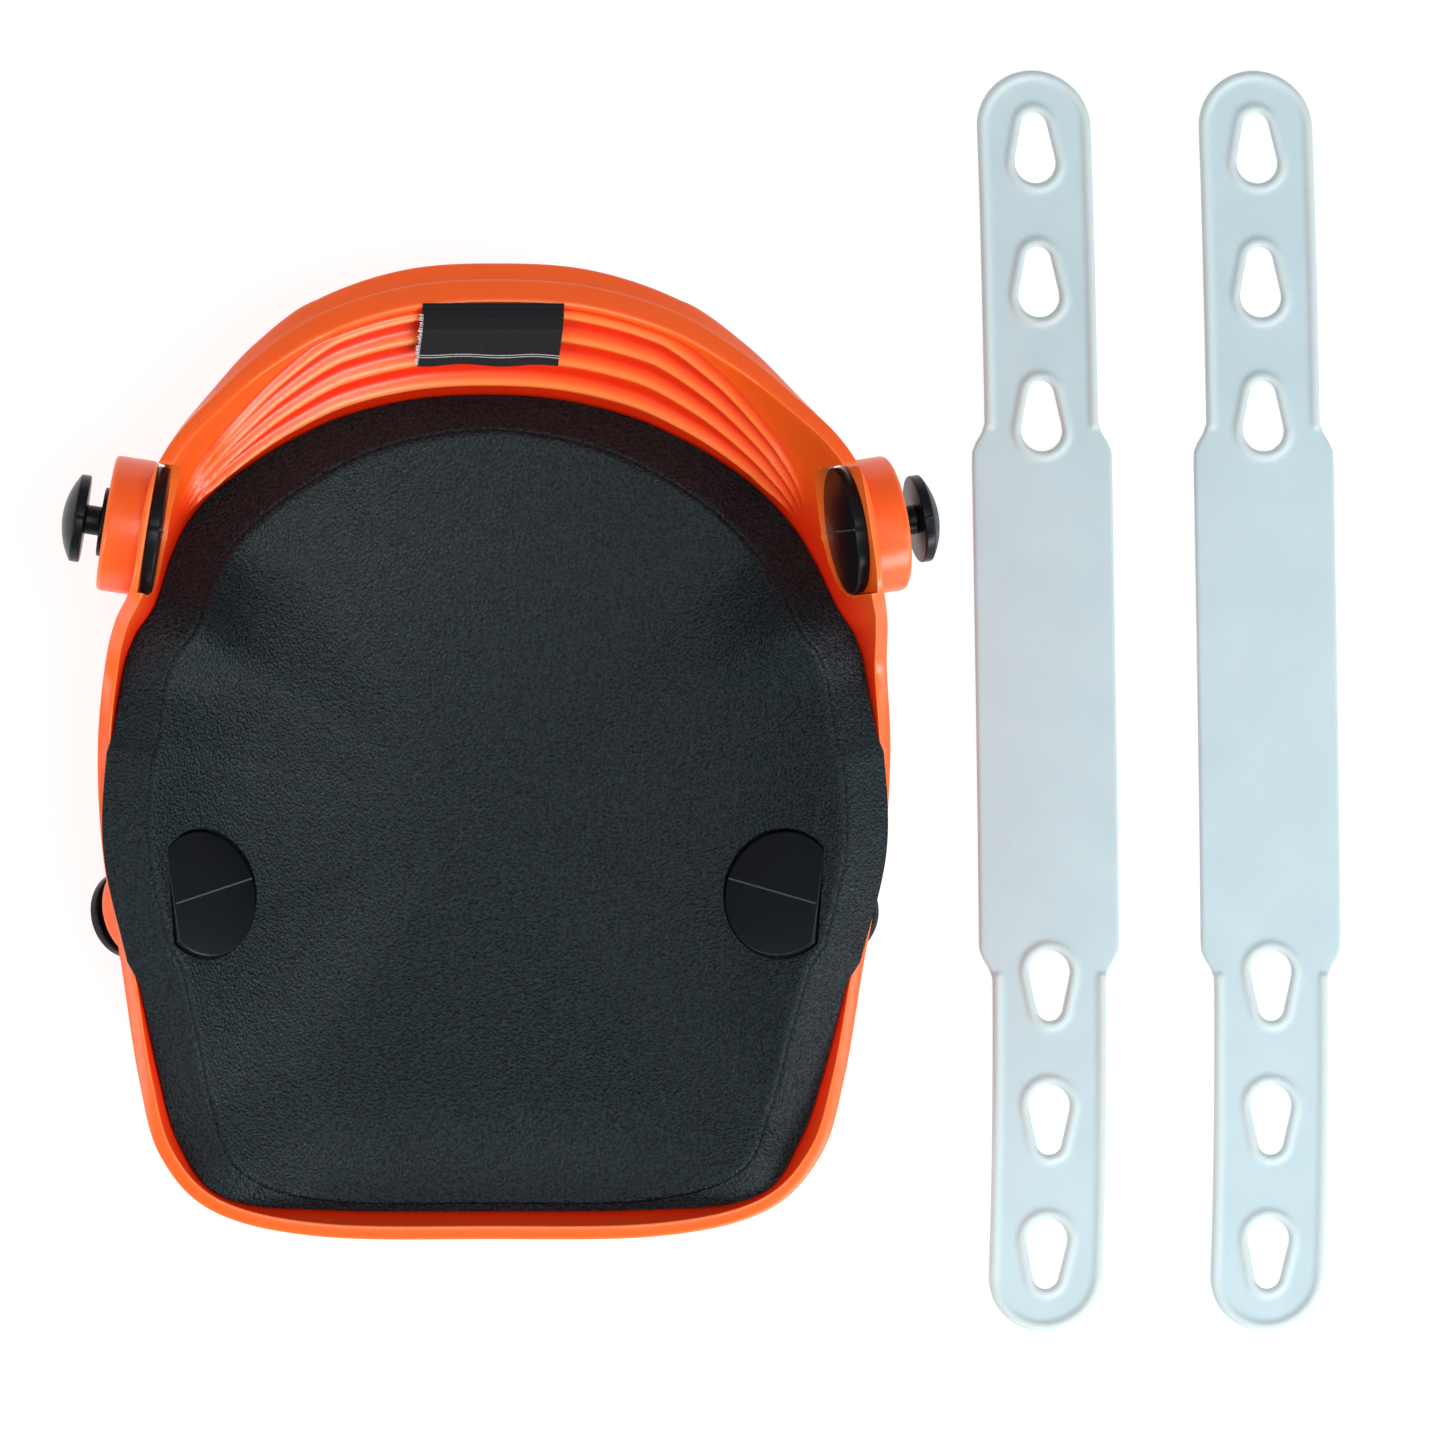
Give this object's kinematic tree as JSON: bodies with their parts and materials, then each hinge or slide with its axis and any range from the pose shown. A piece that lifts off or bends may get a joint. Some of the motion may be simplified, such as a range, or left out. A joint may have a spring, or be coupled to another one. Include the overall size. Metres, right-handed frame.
{
  "type": "knee pad",
  "caption": "Cup-shaped rubber work knee pad with a ribbed hood, dished foam insert and mushroom studs, with loose slotted silicone straps beside it.",
  "frame": {"origin": "on the pad's flat kneeling face, on its centre line, near the middle of the face", "axes": "+X to the right seen from inside the pad with the thigh end up, +Y from the shin end to the thigh end, +Z from the kneeling face towards the knee"},
  "size_m": [0.3152, 0.304, 0.0867],
  "materials": {
    "shell_rubber": "orange moulded rubber, semi-gloss",
    "foam": "matte dark grey closed-cell foam with a fine leathery skin",
    "label_cloth": "black woven damask, plain",
    "stud_plastic": "black injection-moulded plastic, satin gloss",
    "strap_silicone": "pale blue-grey silicone, satin, slightly translucent"
  },
  "bodies": {
    "pad": {"shell": "shell_rubber", "foam_insert": "foam", "label": "label_cloth", "stud_lower_left": "stud_plastic", "stud_lower_right": "stud_plastic"},
    "upper_stud_left": {"stud_upper_left": "stud_plastic"},
    "upper_stud_right": {"stud_upper_right": "stud_plastic"},
    "first_strap": {"strap_one": "strap_silicone"},
    "second_strap": {"strap_two": "strap_silicone"}
  },
  "joints": [
    {"name": "upper_stud_left_swivel", "type": "hinge", "parent": "pad", "child": "upper_stud_left", "pos_m": [-0.0847, 0.0553, 0.0685], "axis": [-0.9803, 0.1553, -0.1219], "continuous": true},
    {"name": "upper_stud_right_swivel", "type": "hinge", "parent": "pad", "child": "upper_stud_right", "pos_m": [0.0847, 0.0553, 0.0685], "axis": [0.9803, 0.1553, -0.1219], "continuous": true},
    {"name": "strap_one_lift", "type": "slide", "parent": "pad", "child": "first_strap", "axis": [0, 0, 1], "range_m": [0, 0.15]},
    {"name": "strap_two_lift", "type": "slide", "parent": "pad", "child": "second_strap", "axis": [0, 0, 1], "range_m": [0, 0.15]}
  ]
}
